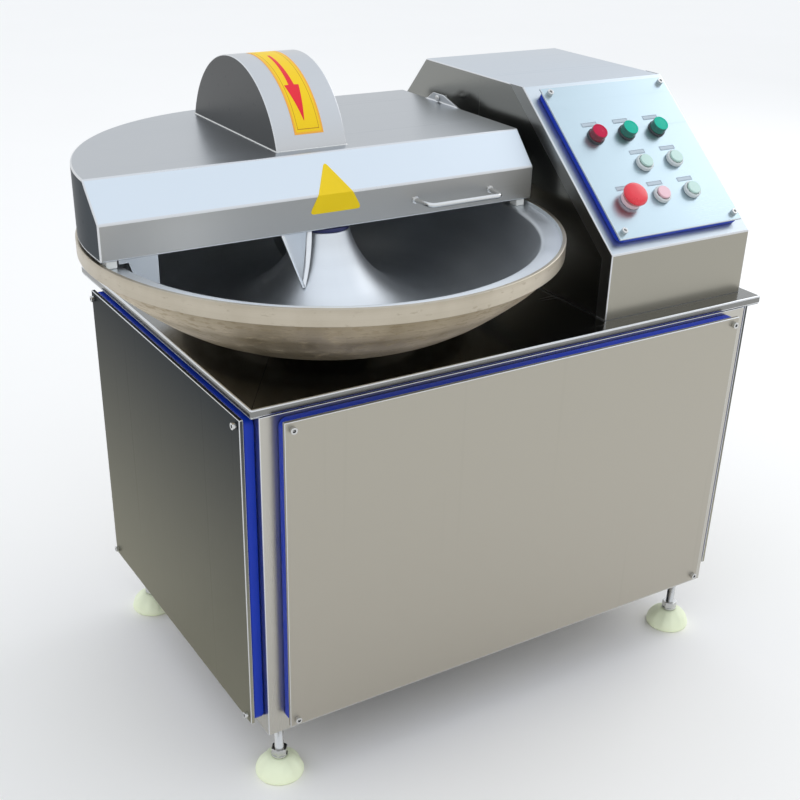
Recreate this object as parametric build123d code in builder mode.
"""A 40 litre meat bowl cutter: a turning bowl, three sickle knives on a level shaft, and the drives below.

The construction frame is the cabinet's: x from its left side, y from its front, z up from its bottom edge.
The planes below move that frame so that the finished machine stands on z = 0, centred on the origin.
"""
from build123d import *
from math import cos, radians, sin, sqrt, tan
import os

os.makedirs("parts", exist_ok=True)

# fits, and how far united shapes are sunk into each other
RUNNING_FIT = 0.05
SOFT_GAP = 0.3
ROTOR_GAP = 0.5
WELD_IN = 1.0

# cabinet, tabletop and feet
CABINET_W = 860.0
CABINET_D = 576.0
LEG_H = 103.0
TABLE_Z = 530.0
TABLE_EDGE = 13.0
TABLE_SHEET = 3.0
TABLE_CORNER_R = 3.0
TABLE_OVER_REAR = 64.0
TABLE_OVER_LEFT = 11.0
TABLE_OVER_RIGHT = 34.0
TABLE_D = CABINET_D + TABLE_OVER_REAR
FRAME_TOP = TABLE_Z - TABLE_EDGE
ANGLE_LEG = 40.0
ANGLE_T = 4.0
FOOT_IN = 31.0
FOOT_PLATE = 56.0
FOOT_PLATE_T = 10.0
BRIDGE_HALF = 150.0
BRIDGE_T = 12.0
RAIL_W = 50.0
RAIL_T = 14.0

# bowl
BOWL_X = 224.0
BOWL_Y = 237.0
RIM_R = 347.0
RIM_OVER_TABLE = 145.0
RIM_Z = TABLE_Z + RIM_OVER_TABLE
RIM_BAND = 23.0
BAND_STEP = 5.0
LIP_W = 6.0
LEDGE_DEPTH = 7.0
TROUGH_R = 143.0
TROUGH_OFFSET = 175.0
BOWL_WALL = 8.0
BOWL_FOOT_Z = TABLE_Z + 22.0
BOWL_FOOT_R = 210.0
BELLY_R = RIM_R - 59.0
BELLY_Z = BOWL_FOOT_Z + 48.0
BOWL_CAVITY_R = 150.0
BOSS_R = 60.0
HUB_BORE_R = 25.0
HUB_TOP_Z = RIM_Z - 3.0
HUB_CAP_H = 6.0
HUB_KNOB_R = 28.0
HUB_KNOB_H = 14.0

# knife shaft and knives
KNIFE_Y = BOWL_Y + TROUGH_OFFSET
KNIFE_OVER_RIM = 33.0
KNIFE_Z = RIM_Z + KNIFE_OVER_RIM
KNIFE_CLEARANCE = 3.0
KNIFE_R = TROUGH_R - KNIFE_CLEARANCE
KNIFE_T = 5.0
KNIFE_PITCH = 22.0
KNIFE_COUNT = 3
CLAMP_R = 42.0
CLAMP_END_T = 9.5
SHAFT_R = 20.0
NOSE_R = SHAFT_R - 5.0
NOSE_L = 18.0
PULLEY_SEAT_R = SHAFT_R - 2.5
PULLEY_SEAT_L = 6.0
SHAFT_END_L = 5.0
SLEEVE_BORE_R = SHAFT_R + 3.0
SLEEVE_R = SLEEVE_BORE_R + 5.0
SLEEVE_HOLE_GAP = 2.0
SEAL_L = 8.0
BEARING_R = 2 * SHAFT_R
BEARING_L = 18.0
BEARING_LIP = 6.0
HOUSING_BARREL_R = BEARING_R + 12.0
HOUSING_BOX_GAP = 4.0
HOUSING_PULLEY_GAP = 20.0
PEDESTAL_HALF = 70.0
PEDESTAL_T = 12.0
WEB_FOOT_HALF = 49.0
WEB_TOP_HALF = 0.8 * HOUSING_BARREL_R
KNIFE_ROOT_R = CLAMP_R - 2.0
KNIFE_HEEL_DEG = 100.0
KNIFE_BELLY_R = 0.8 * KNIFE_R
KNIFE_BELLY_DEG = 50.0
KNIFE_TIP_CUT = 5.0
KNIFE_TIP_DEG = 6.0
KNIFE_BACK_R = 0.62 * KNIFE_R
KNIFE_BACK_DEG = 8.0
KNIFE_NECK_DEG = 30.0
NUT_R = 27.0
NUT_L = 26.0

# control box
BOX_W = 279.0
BOX_RIGHT_GAP = 19.0
BOX_X = CABINET_W + TABLE_OVER_RIGHT - BOX_RIGHT_GAP - BOX_W
BOX_FRONT_Y = 31.0
BOX_REAR_GAP = 5.0
BOX_BACK_Y = TABLE_D - BOX_REAR_GAP
BOX_BEND_Z = TABLE_Z + 102.0
BOX_TOP_Z = TABLE_Z + 300.0
BOX_SLOPE_DEG = 39.2
BOX_BACK_TOP_Y = BOX_BACK_Y - 83.0
BOX_BACK_BEND_Z = TABLE_Z + 210.0
BOX_SHEET = 2.5
BOX_FLANGE = 20.0
COVER_SHEET = 2.0
COVER_FLANGE = 22.0
COVER_FLANGE_T = 1.5

# lid
LID_R = 344.0
LID_GAP = 4.0
LID_SHEET = 2.5
LID_FRONT_Y = BOWL_Y - 35.0
LID_BOX_GAP = 27.0
LID_RIGHT_X = BOX_X - LID_BOX_GAP
LID_LEFT_X = BOWL_X - LID_R
LID_BOTTOM_Z = RIM_Z + LID_GAP
LID_FACE_H = 49.0
LID_H = 96.5
LID_BEND_Z = LID_BOTTOM_Z + LID_FACE_H
LID_TOP_Z = LID_BOTTOM_Z + LID_H
LID_BEVEL_Y = 45.5
DOME_W = 112.0
DOME_R = TROUGH_R + 4.0
DOME_SINK = 39.5
DOME_LAND = 6.0
NOTCH_HALF = SLEEVE_R + 14.0
NOTCH_TOP_Z = KNIFE_Z + SLEEVE_R + 8.0
LUG_T = 3.0
LUG_H = 13.0
LUG_BASE = (LID_FRONT_Y + 191.0, LID_FRONT_Y + 303.0)
LUG_TOP = (LID_FRONT_Y + 248.0, LID_FRONT_Y + 280.0)
LUG_BOLT_Y = LID_FRONT_Y + 264.0
LUG_BOLT_Z = LID_TOP_Z + LUG_H / 2
LUG_BOLT_R = 3.0
LUG_BOLT_TAIL = 14.0
LUG_HEAD_R = LUG_BOLT_R + 2.0
LUG_HEAD_T = 4.0
LUG_HEAD_ROUND = 2.5
LUG_NUT_R = LUG_BOLT_R + 3.0
LUG_NUT_T = 5.0
HANDLE_R = 3.5
HANDLE_COLLAR = 2.0
HANDLE_Z = LID_BOTTOM_Z + 23.5
HANDLE_X = (LID_RIGHT_X - 213.0, LID_RIGHT_X - 80.0)
HANDLE_LEAN = 5.0
HANDLE_REACH = 38.0
HANDLE_BEND = 9.0
REST_PAD_W = 15.0
REST_PAD_D = 18.0
REST_FOOT_LEFT_X = LID_LEFT_X + 8.0
REST_FOOT_RIGHT_X = LID_RIGHT_X - 10.0

# lid hinge
HINGE_BEHIND_LID = 31.0
HINGE_Y = BOWL_Y + LID_R + HINGE_BEHIND_LID
HINGE_Z = RIM_Z + 19.0
HINGE_R = 8.0
HINGE_BOSS_R = 16.0
HINGE_SIDE_GAP = 1.0
ARM_T = 8.0
ARM_XS = (BOWL_X + 38.0, LID_RIGHT_X - 29.0)
POST_X = (BOWL_X - 9.0, BOWL_X + 21.0)
POST_HALF = HINGE_BOSS_R - 4.0
POST_BASE = 10.0
POST_BASE_T = 8.0
WALL_PLATE_T = 5.0
WALL_PLATE_HALF = 22.0
SHAFT_HEAD_R = HINGE_R + 4.0
SHAFT_HEAD_L = 6.0

# scrapers
SCRAPER_T = 3.0
SCRAPER_TOP_Z = LID_BOTTOM_Z + 21.0
HUB_SCRAPER_TOP = (BOWL_X - 91.0, BOWL_X - 34.0)
HUB_SCRAPER_TIP_X = BOWL_X - 61.0
HUB_SCRAPER_TIP_HALF = 2.0
HUB_SCRAPER_DROP = 95.0
HUB_SCRAPER_LEAN = 28.0
HUB_SCRAPER_BACK = 10.0
HUB_SCRAPER_BOW = 3.0
WALL_SCRAPER_RIGHT = BOWL_X - 265.0
WALL_SCRAPER_LEFT = BOWL_X - 319.0
WALL_CLEARANCE = 5.0

# control panel: distances up the slope from the box's lower bend, heights out from the slope
PANEL_W = BOX_W - 30.0
PANEL_L = 282.0
PANEL_T = 3.0
PANEL_GASKET_T = 10.0
PANEL_GASKET_W = 22.0
PANEL_START = 16.0
PANEL_INSET = 1.0
PANEL_SCREW_IN = 12.0
PANEL_CX = BOX_X + BOX_W / 2
PANEL_CS = PANEL_START + PANEL_L / 2
PANEL_FACE = PANEL_GASKET_T + PANEL_T
COLUMNS = (-69.0, -7.0, 55.0)
ROWS = (199.0, 139.0, 79.0)
BARREL_R = 11.0
BARREL_L = 30.0
BEZEL_R = BARREL_R + 3.5
BEZEL_T = 3.0
BEZEL_RING_H = 7.0
BLOCK_W = 28.0
BLOCK_L = 36.0
BLOCK_H = 32.0
CAP_R = BARREL_R
CAP_T = 4.0
PLUNGER_R = BARREL_R - 3.0
PLUNGER_BORE_R = PLUNGER_R + RUNNING_FIT
BORE_DEPTH = 20.0
PRESS = 4.0
CAP_LIFT = BEZEL_T + PRESS
LENS_R = BARREL_R + 2.0
LENS_H = 12.0
LENS_ROUND = 2.5
ESTOP_R = 20.0
ESTOP_COLLAR_R = 17.0
ESTOP_HEAD_H = 11.0
ESTOP_ROUND = 6.6
ESTOP_PRESS = 5.0
ESTOP_LIFT = PANEL_FACE + CAP_LIFT + ESTOP_PRESS

# side panels
PANEL_STAND = 22.0
TRAY_DEPTH = 6.0
TRAY_SHEET = 1.5
GASKET_W = 24.0
GASKET_INSET = 1.0
GASKET_CORNER = 12.0
TRAY_Z0 = 22.0
TRAY_Z1 = FRAME_TOP - 4.0
FRONT_MARGIN_LEFT = 25.0
FRONT_MARGIN_RIGHT = 32.0
SIDE_MARGIN = 12.5
SCREW_INSET = 11.0
SCREW_R = 3.0
SCREW_HOLE_R = 3.4
SCREW_HEAD_R = 5.0
SCREW_HEAD_H = 6.0
SCREW_TAIL = 4.0
SOCKET_R = 2.5
GLAND_X = CABINET_W - 160.0
GLAND_Z = 120.0
GLAND_R = 10.0
GLAND_L = 18.0
GLAND_NUT_R = 15.0
GLAND_NUT_T = 4.0

# knife motor and belts
PULLEY_X0 = BOX_X + BOX_W - 69.0
MOTOR_Y = KNIFE_Y - 12.0
MOTOR_Z = 150.0
MOTOR_R = 104.0
MOTOR_FIN_H = 8.0
MOTOR_FIN_T = 4.0
MOTOR_FINS = 24
MOTOR_X1 = PULLEY_X0 - 106.0
MOTOR_X0 = MOTOR_X1 - 280.0
MOTOR_END = 20.0
MOTOR_SHAFT_R = 19.0
MOTOR_FOOT_HALF = 95.0
MOTOR_BLOCK_HALF = 76.0
TERMINAL_BOX_L = 110.0
TERMINAL_BOX_W = 100.0
TERMINAL_BOX_H = 50.0
ROTOR_R = 71.0
FAN_R = 85.0
FAN_T = 20.0
FAN_COVER_L = 70.0
FAN_COVER_T = 6.0
FAN_INLET_R = 38.0
RAIL_XS = (MOTOR_X0 + 50.0, MOTOR_X1 - 60.0)
RAIL_TOP = ANGLE_T + RAIL_T
GROOVE_PITCH = 13.0
GROOVE_COUNT = 3
GROOVE_W = 10.6
GROOVE_DEPTH = 9.0
BELT_W = 10.0
BELT_T = 8.5
PULLEY_L = GROOVE_COUNT * GROOVE_PITCH
SHAFT_PULLEY_R = 56.0
MOTOR_PULLEY_R = 76.0
BELT_SLOT_SIDE = 8.0
BELT_SLOT_FRONT = 14.0
BELT_SLOT_REAR = 6.0

# bowl spindle, bearings, worm gearbox and bowl motor
SPINDLE_R = 22.5
SPINDLE_TAIL_R = SPINDLE_R - 5.0
SPINDLE_FLANGE_R = BOSS_R - 2.0
SPINDLE_FLANGE_T = 12.0
UPPER_BEARING_R = SPINDLE_R + 20.0
LOWER_BEARING_R = SPINDLE_TAIL_R + 18.5
BEARING_SHOULDER = 6.0
HOUSING_R = UPPER_BEARING_R + 17.5
HOUSING_TOP_Z = TABLE_Z + 4.0
HOUSING_BOTTOM_Z = TABLE_Z - 110.0
UPPER_BEARING = (TABLE_Z - 22.0, TABLE_Z - 3.0)
LOWER_BEARING = (HOUSING_BOTTOM_Z + 6.0, HOUSING_BOTTOM_Z + 23.0)
FLANGE_R = HOUSING_R + 35.0
FLANGE_T = 12.0
GEARBOX_Z0 = HOUSING_BOTTOM_Z - 120.0
WORM_Z = GEARBOX_Z0 + 59.0
WHEEL_R = 50.0
WHEEL_T = 28.0
WORM_R = 16.0
WORM_NECK_R = 12.0
WORM_Y = BOWL_Y - WHEEL_R - WORM_R - SOFT_GAP
GEARBOX_X0 = BOWL_X - 72.0
GEARBOX_X1 = BOWL_X + 72.0
GEARBOX_WALL = 10.0
BOWL_MOTOR_L = 204.0
BOWL_MOTOR_R = 66.0
BOWL_MOTOR_FLANGE_R = 80.0
BOWL_ROTOR_R = 38.0

# levelling feet
STEM_R = 7.0
STEM_TOP = 35.0
PAD_R = 38.0
PAD_H = 32.0
PAD_EDGE = 2.0
PAD_SKIRT = 6.0
PAD_BELLY_R = 0.86 * PAD_R
PAD_BELLY_H = 0.64 * PAD_H
PAD_TOP_R = 2 * STEM_R
PAD_SHOULDER_R = PAD_TOP_R + 6.0
PAD_SHOULDER_H = 0.93 * PAD_H
SOCKET_H = PAD_H / 3
FOOT_NUT_R = PAD_TOP_R - 1.0
FOOT_NUT_H = 15.0
COLLAR_H = FOOT_NUT_H / 4

X_MIN = BOWL_X - RIM_R
X_MAX = CABINET_W + TABLE_OVER_RIGHT
Y_MIN = BOWL_Y - RIM_R
Y_MAX = TABLE_D
SHIFT = Vector(-(X_MIN + X_MAX) / 2, -(Y_MIN + Y_MAX) / 2, LEG_H)


def at_height(z):
    """A level plane: sketch x and y are the cabinet's x and y, and it extrudes up."""
    return Plane(SHIFT + Vector(0, 0, z), x_dir=(1, 0, 0), z_dir=(0, 0, 1))


def at_x(x):
    """A plane across x: sketch x is the cabinet's y, sketch y is its z, and it extrudes to the right."""
    return Plane(SHIFT + Vector(x, 0, 0), x_dir=(0, 1, 0), z_dir=(1, 0, 0))


def at_y(y):
    """A plane across y: sketch x is the cabinet's x, sketch y is its z, and it extrudes to the front."""
    return Plane(SHIFT + Vector(0, y, 0), x_dir=(1, 0, 0), z_dir=(0, -1, 0))


def left_side():
    """The cabinet's left face looking in: sketch x is minus the cabinet's y, and it extrudes to the left."""
    return Plane(SHIFT, x_dir=(0, -1, 0), z_dir=(-1, 0, 0))


def rear_side():
    """The cabinet's rear face looking in: sketch x is minus the cabinet's x, and it extrudes to the rear."""
    return Plane(SHIFT + Vector(0, CABINET_D, 0), x_dir=(-1, 0, 0), z_dir=(0, 1, 0))


def slope_plane(h):
    """A plane h outside the control box's slope: sketch y runs up the slope from the lower bend."""
    normal = Vector(0, -sin(radians(BOX_SLOPE_DEG)), cos(radians(BOX_SLOPE_DEG)))
    origin = SHIFT + Vector(0, BOX_FRONT_Y, BOX_BEND_Z)
    return Plane(origin + normal * h, x_dir=(1, 0, 0), z_dir=normal)


def radial_plane(x, y):
    """A plane through an upright axis: sketch x is the radius, sketch y is the height."""
    return Plane(SHIFT + Vector(x, y, 0), x_dir=(1, 0, 0), z_dir=(0, -1, 0))


def upright_axis(x, y):
    """An upright axis at a place in the cabinet."""
    return Axis(SHIFT + Vector(x, y, 0), (0, 0, 1))


def level_axis(y, z):
    """An axis along x at a place in the cabinet."""
    return Axis(SHIFT + Vector(0, y, z), (1, 0, 0))


def save(part, name):
    """Labels a finished piece and writes it."""
    part.label = name
    export_step(part, f"parts/{name}.step")


def save_group(pieces, name):
    """Writes like pieces as the separate solids of one node."""
    save(Compound(children=[solid for piece in pieces for solid in piece.solids()]), name)


def rect(x0, x1, y0, y1, mode=Mode.ADD):
    """A rectangle between two corners, in the sketch that is open."""
    with Locations(((x0 + x1) / 2, (y0 + y1) / 2)):
        Rectangle(x1 - x0, y1 - y0, mode=mode)


def disc(x, y, r, mode=Mode.ADD):
    """A circle at a point, in the sketch that is open."""
    with Locations((x, y)):
        Circle(r, mode=mode)


def outline(*points):
    """A face with straight sides, in the sketch that is open."""
    Polygon(*points, align=None)


def turned_level(y, z, steps):
    """A solid turned about an axis along x from steps of (x start, x end, inner radius, outer radius)."""
    with BuildPart() as turned:
        with BuildSketch(at_y(y)):
            for x0, x1, inner, outer in steps:
                rect(x0, x1, z + inner, z + outer)
        revolve(axis=level_axis(y, z))
    return turned.part


def turned_upright(x, y, steps):
    """A solid turned about an upright axis from steps of (z start, z end, inner radius, outer radius)."""
    with BuildPart() as turned:
        with BuildSketch(radial_plane(x, y)):
            for z0, z1, inner, outer in steps:
                rect(inner, outer, z0, z1)
        revolve(axis=upright_axis(x, y))
    return turned.part


# ---------------------------------------------------------------- cabinet frame and tabletop
FOOT_SPOTS = [
    (FOOT_IN, FOOT_IN),
    (CABINET_W - FOOT_IN, FOOT_IN),
    (FOOT_IN, CABINET_D - FOOT_IN),
    (CABINET_W - FOOT_IN, CABINET_D - FOOT_IN),
]
FRONT_SPAN = (FRONT_MARGIN_LEFT, CABINET_W - FRONT_MARGIN_RIGHT)
REAR_SPAN = (FRONT_MARGIN_RIGHT - CABINET_W, -FRONT_MARGIN_LEFT)
LEFT_SPAN = (SIDE_MARGIN - CABINET_D, -SIDE_MARGIN)
RIGHT_SPAN = (SIDE_MARGIN, CABINET_D - SIDE_MARGIN)
SIDES = [
    (at_y(0), FRONT_SPAN),
    (rear_side(), REAR_SPAN),
    (left_side(), LEFT_SPAN),
    (at_x(CABINET_W), RIGHT_SPAN),
]
BELT_SLOT = (
    PULLEY_X0 - BELT_SLOT_SIDE,
    PULLEY_X0 + PULLEY_L + BELT_SLOT_SIDE,
    KNIFE_Y - MOTOR_PULLEY_R - BELT_SLOT_FRONT,
    KNIFE_Y + MOTOR_PULLEY_R + BELT_SLOT_REAR,
)


def screw_spots(span):
    """The four corner screws of a side panel."""
    u0, u1 = span
    return [(u, z) for u in (u0 + SCREW_INSET, u1 - SCREW_INSET) for z in
            (TRAY_Z0 + SCREW_INSET, TRAY_Z1 - SCREW_INSET)]


with BuildPart() as frame:
    with BuildSketch(at_height(0)):
        rect(0, CABINET_W, 0, CABINET_D)
        rect(ANGLE_T, CABINET_W - ANGLE_T, ANGLE_T, CABINET_D - ANGLE_T, mode=Mode.SUBTRACT)
    extrude(amount=FRAME_TOP)
    for z in (0, FRAME_TOP - ANGLE_T):
        with BuildSketch(at_height(z)):
            rect(0, CABINET_W, 0, CABINET_D)
            rect(ANGLE_LEG, CABINET_W - ANGLE_LEG, ANGLE_LEG, CABINET_D - ANGLE_LEG, mode=Mode.SUBTRACT)
        extrude(amount=ANGLE_T)
    with BuildSketch(at_y(CABINET_D)):
        rect(ANGLE_LEG, CABINET_W - ANGLE_LEG, ANGLE_LEG, FRAME_TOP - ANGLE_LEG)
    extrude(amount=CABINET_D, mode=Mode.SUBTRACT)
    with BuildSketch(at_x(0)):
        rect(ANGLE_LEG, CABINET_D - ANGLE_LEG, ANGLE_LEG, FRAME_TOP - ANGLE_LEG)
    extrude(amount=CABINET_W, mode=Mode.SUBTRACT)
    with BuildSketch(at_height(0)):
        for x0 in (ANGLE_T, CABINET_W - ANGLE_T - FOOT_PLATE):
            for y0 in (ANGLE_T, CABINET_D - ANGLE_T - FOOT_PLATE):
                rect(x0, x0 + FOOT_PLATE, y0, y0 + FOOT_PLATE)
    extrude(amount=FOOT_PLATE_T)
    with BuildSketch(at_height(0)):
        for x, y in FOOT_SPOTS:
            disc(x, y, STEM_R + RUNNING_FIT)
    extrude(amount=FOOT_PLATE_T, mode=Mode.SUBTRACT)
    with BuildSketch(at_height(ANGLE_T)):
        for x in RAIL_XS:
            rect(x - RAIL_W / 2, x + RAIL_W / 2, ANGLE_T, CABINET_D - ANGLE_T)
    extrude(amount=RAIL_T)
    with BuildSketch(at_height(FRAME_TOP - BRIDGE_T)):
        for y in (BOWL_Y - BRIDGE_HALF + RAIL_W / 2, BOWL_Y + BRIDGE_HALF - RAIL_W / 2):
            rect(ANGLE_T, CABINET_W - ANGLE_T, y - RAIL_W / 2, y + RAIL_W / 2)
        rect(BOWL_X - BRIDGE_HALF, BOWL_X + BRIDGE_HALF, BOWL_Y - BRIDGE_HALF, BOWL_Y + BRIDGE_HALF)
        disc(BOWL_X, BOWL_Y, HOUSING_R, mode=Mode.SUBTRACT)
    extrude(amount=BRIDGE_T)
    with BuildSketch(at_height(FRAME_TOP - BRIDGE_T)):
        rect(*BELT_SLOT)
    extrude(amount=BRIDGE_T, mode=Mode.SUBTRACT)
    for plane, span in SIDES:
        with BuildSketch(plane):
            for u, z in screw_spots(span):
                disc(u, z, SCREW_R)
        extrude(amount=-ANGLE_T, mode=Mode.SUBTRACT)
save(frame.part, "cabinet_frame")

with BuildPart() as tabletop:
    with BuildSketch(at_height(FRAME_TOP)):
        rect(-TABLE_OVER_LEFT, CABINET_W + TABLE_OVER_RIGHT, 0, TABLE_D)
    extrude(amount=TABLE_EDGE)
    fillet(tabletop.edges().filter_by(Axis.Z), TABLE_CORNER_R)
    with BuildSketch(at_height(FRAME_TOP)):
        rect(
            TABLE_SHEET - TABLE_OVER_LEFT,
            CABINET_W + TABLE_OVER_RIGHT - TABLE_SHEET,
            TABLE_SHEET,
            TABLE_D - TABLE_SHEET,
        )
    extrude(amount=TABLE_EDGE - TABLE_SHEET, mode=Mode.SUBTRACT)
    with BuildSketch(at_height(FRAME_TOP)):
        rect(0, CABINET_W, TABLE_SHEET, CABINET_D)
        rect(ANGLE_LEG, CABINET_W - ANGLE_LEG, ANGLE_LEG, CABINET_D - ANGLE_LEG, mode=Mode.SUBTRACT)
        rect(BOWL_X - BRIDGE_HALF, BOWL_X + BRIDGE_HALF, BOWL_Y - BRIDGE_HALF, BOWL_Y + BRIDGE_HALF)
        rect(BOX_X, BELT_SLOT[0], KNIFE_Y - BRIDGE_HALF, KNIFE_Y + BRIDGE_HALF)
    extrude(amount=TABLE_EDGE - TABLE_SHEET)
    with BuildSketch(at_height(FRAME_TOP)):
        disc(BOWL_X, BOWL_Y, HOUSING_R)
        rect(*BELT_SLOT)
    extrude(amount=TABLE_EDGE, mode=Mode.SUBTRACT)
save(tabletop.part, "tabletop")


# ---------------------------------------------------------------- side panels on their gaskets
def gasket_window(span, mode):
    """The open middle inside a gasket, in the sketch that is open."""
    u0, u1 = span
    rect(u0 + GASKET_W, u1 - GASKET_W, TRAY_Z0 + GASKET_W, TRAY_Z1 - GASKET_W, mode=mode)


def tray(plane, span):
    """A shallow folded cover standing PANEL_STAND outside the plane, with a return flange on its gasket."""
    u0, u1 = span
    t = TRAY_SHEET
    with BuildPart() as cover:
        with BuildSketch(plane.offset(PANEL_STAND - TRAY_DEPTH)):
            rect(u0, u1, TRAY_Z0, TRAY_Z1)
        extrude(amount=TRAY_DEPTH)
        with BuildSketch(plane.offset(PANEL_STAND - TRAY_DEPTH + t)):
            rect(u0 + t, u1 - t, TRAY_Z0 + t, TRAY_Z1 - t)
        extrude(amount=TRAY_DEPTH - 2 * t, mode=Mode.SUBTRACT)
        with BuildSketch(plane.offset(PANEL_STAND - TRAY_DEPTH)):
            gasket_window(span, Mode.ADD)
        extrude(amount=t, mode=Mode.SUBTRACT)
        with BuildSketch(plane.offset(PANEL_STAND - TRAY_DEPTH)):
            for u, z in screw_spots(span):
                disc(u, z, SCREW_HOLE_R)
        extrude(amount=TRAY_DEPTH, mode=Mode.SUBTRACT)
    return cover.part


def gasket(plane, span):
    """The moulded rubber frame between a side panel and the cabinet."""
    u0, u1 = span
    a = 2 * GASKET_INSET
    with BuildPart() as seal:
        with BuildSketch(plane):
            with Locations(((u0 + u1) / 2, (TRAY_Z0 + TRAY_Z1) / 2)):
                RectangleRounded(u1 - u0 - a, TRAY_Z1 - TRAY_Z0 - a, GASKET_CORNER)
            gasket_window(span, Mode.SUBTRACT)
            for u, z in screw_spots(span):
                disc(u, z, SCREW_HOLE_R, mode=Mode.SUBTRACT)
        extrude(amount=PANEL_STAND - TRAY_DEPTH)
    return seal.part


def cap_screw(plane, u, v, length):
    """A socket head screw whose head stands on the plane, with its shank below it."""
    with BuildPart() as screw:
        with BuildSketch(plane):
            disc(u, v, SCREW_HEAD_R)
        extrude(amount=SCREW_HEAD_H)
        with BuildSketch(plane):
            disc(u, v, SCREW_R)
        extrude(amount=-length)
        with BuildSketch(plane.offset(SCREW_HEAD_H / 2)):
            with Locations((u, v)):
                RegularPolygon(SOCKET_R, 6)
        extrude(amount=SCREW_HEAD_H / 2, mode=Mode.SUBTRACT)
    return screw.part


save(tray(*SIDES[0]), "front_panel")
save(tray(*SIDES[2]), "left_panel")
save(tray(*SIDES[3]), "right_panel")
save_group([gasket(*SIDES[0]), gasket(*SIDES[1])], "end_gaskets")
save_group([gasket(*SIDES[2]), gasket(*SIDES[3])], "side_gaskets")

rear_tray = tray(*SIDES[1])
with BuildPart() as rear_panel:
    add(rear_tray)
    with BuildSketch(rear_side().offset(PANEL_STAND)):
        disc(-GLAND_X, GLAND_Z, GLAND_R)
    extrude(amount=-TRAY_SHEET, mode=Mode.SUBTRACT)
save(rear_panel.part, "rear_panel")

with BuildPart() as gland:
    with BuildSketch(rear_side().offset(PANEL_STAND - GLAND_L / 2)):
        disc(-GLAND_X, GLAND_Z, GLAND_R)
    extrude(amount=GLAND_L)
    for inset in (0, -TRAY_SHEET - GLAND_NUT_T):
        with BuildSketch(rear_side().offset(PANEL_STAND + inset)):
            with Locations((-GLAND_X, GLAND_Z)):
                RegularPolygon(GLAND_NUT_R, 6)
        extrude(amount=GLAND_NUT_T)
    with BuildSketch(rear_side().offset(PANEL_STAND - GLAND_L / 2)):
        disc(-GLAND_X, GLAND_Z, GLAND_R / 2)
    extrude(amount=GLAND_L, mode=Mode.SUBTRACT)
save(gland.part, "cable_gland")

# ---------------------------------------------------------------- control box
SLOPE_TAN = tan(radians(BOX_SLOPE_DEG))
SLOPE_COS = cos(radians(BOX_SLOPE_DEG))


def box_outline(skin):
    """The control box's side view, with its front and slope moved in by a skin."""
    front = BOX_FRONT_Y + skin
    lower = BOX_BEND_Z + skin * SLOPE_TAN - skin / SLOPE_COS
    upper = BOX_FRONT_Y + (BOX_TOP_Z - BOX_BEND_Z + skin / SLOPE_COS) / SLOPE_TAN
    outline(
        (front, TABLE_Z),
        (front, lower),
        (upper, BOX_TOP_Z),
        (BOX_BACK_TOP_Y, BOX_TOP_Z),
        (BOX_BACK_Y, BOX_BACK_BEND_Z),
        (BOX_BACK_Y, TABLE_Z),
    )


PANEL_OPEN_W = PANEL_W - 2 * (PANEL_INSET + PANEL_GASKET_W)
PANEL_OPEN_L = PANEL_L - 2 * (PANEL_INSET + PANEL_GASKET_W)

with BuildPart() as box_shell:
    with BuildSketch(at_x(BOX_X)):
        box_outline(COVER_SHEET)
    extrude(amount=BOX_W)
    with BuildSketch(at_x(BOX_X + BOX_SHEET)):
        box_outline(COVER_SHEET)
        offset(amount=-BOX_SHEET, kind=Kind.INTERSECTION, mode=Mode.REPLACE)
    extrude(amount=BOX_W - 2 * BOX_SHEET, mode=Mode.SUBTRACT)
    with BuildSketch(at_height(TABLE_Z)):
        rect(
            BOX_X + BOX_FLANGE,
            BOX_X + BOX_W - BOX_FLANGE,
            BOX_FRONT_Y + BOX_FLANGE,
            BOX_BACK_Y - BOX_FLANGE,
        )
    extrude(amount=BOX_SHEET, mode=Mode.SUBTRACT)
    with BuildSketch(at_y(BOX_FRONT_Y)):
        rect(BOX_X + BOX_FLANGE, BOX_X + BOX_W - BOX_FLANGE, TABLE_Z + BOX_FLANGE, BOX_BEND_Z - BOX_FLANGE)
    extrude(amount=-BOX_FLANGE, mode=Mode.SUBTRACT)
    with BuildSketch(slope_plane(0)):
        with Locations((PANEL_CX, PANEL_CS)):
            Rectangle(PANEL_OPEN_W + BOX_FLANGE, PANEL_OPEN_L + BOX_FLANGE)
    extrude(amount=-COVER_SHEET - BOX_SHEET, mode=Mode.SUBTRACT)
    with BuildSketch(at_x(BOX_X)):
        disc(KNIFE_Y, KNIFE_Z, SLEEVE_R + SLEEVE_HOLE_GAP)
    extrude(amount=BOX_SHEET, mode=Mode.SUBTRACT)
save(box_shell.part, "control_box")

with BuildPart() as box_cover:
    with BuildSketch(at_x(BOX_X - COVER_FLANGE_T)):
        box_outline(0)
    extrude(amount=BOX_W + 2 * COVER_FLANGE_T)
    with BuildSketch(at_x(BOX_X)):
        box_outline(COVER_SHEET)
    extrude(amount=BOX_W, mode=Mode.SUBTRACT)
    for x in (BOX_X - COVER_FLANGE_T, BOX_X + BOX_W):
        with BuildSketch(at_x(x)):
            box_outline(COVER_FLANGE)
        extrude(amount=COVER_FLANGE_T, mode=Mode.SUBTRACT)
    with BuildSketch(slope_plane(0)):
        with Locations((PANEL_CX, PANEL_CS)):
            Rectangle(PANEL_OPEN_W, PANEL_OPEN_L)
    extrude(amount=-COVER_SHEET, mode=Mode.SUBTRACT)
save(box_cover.part, "control_box_cover")

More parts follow.
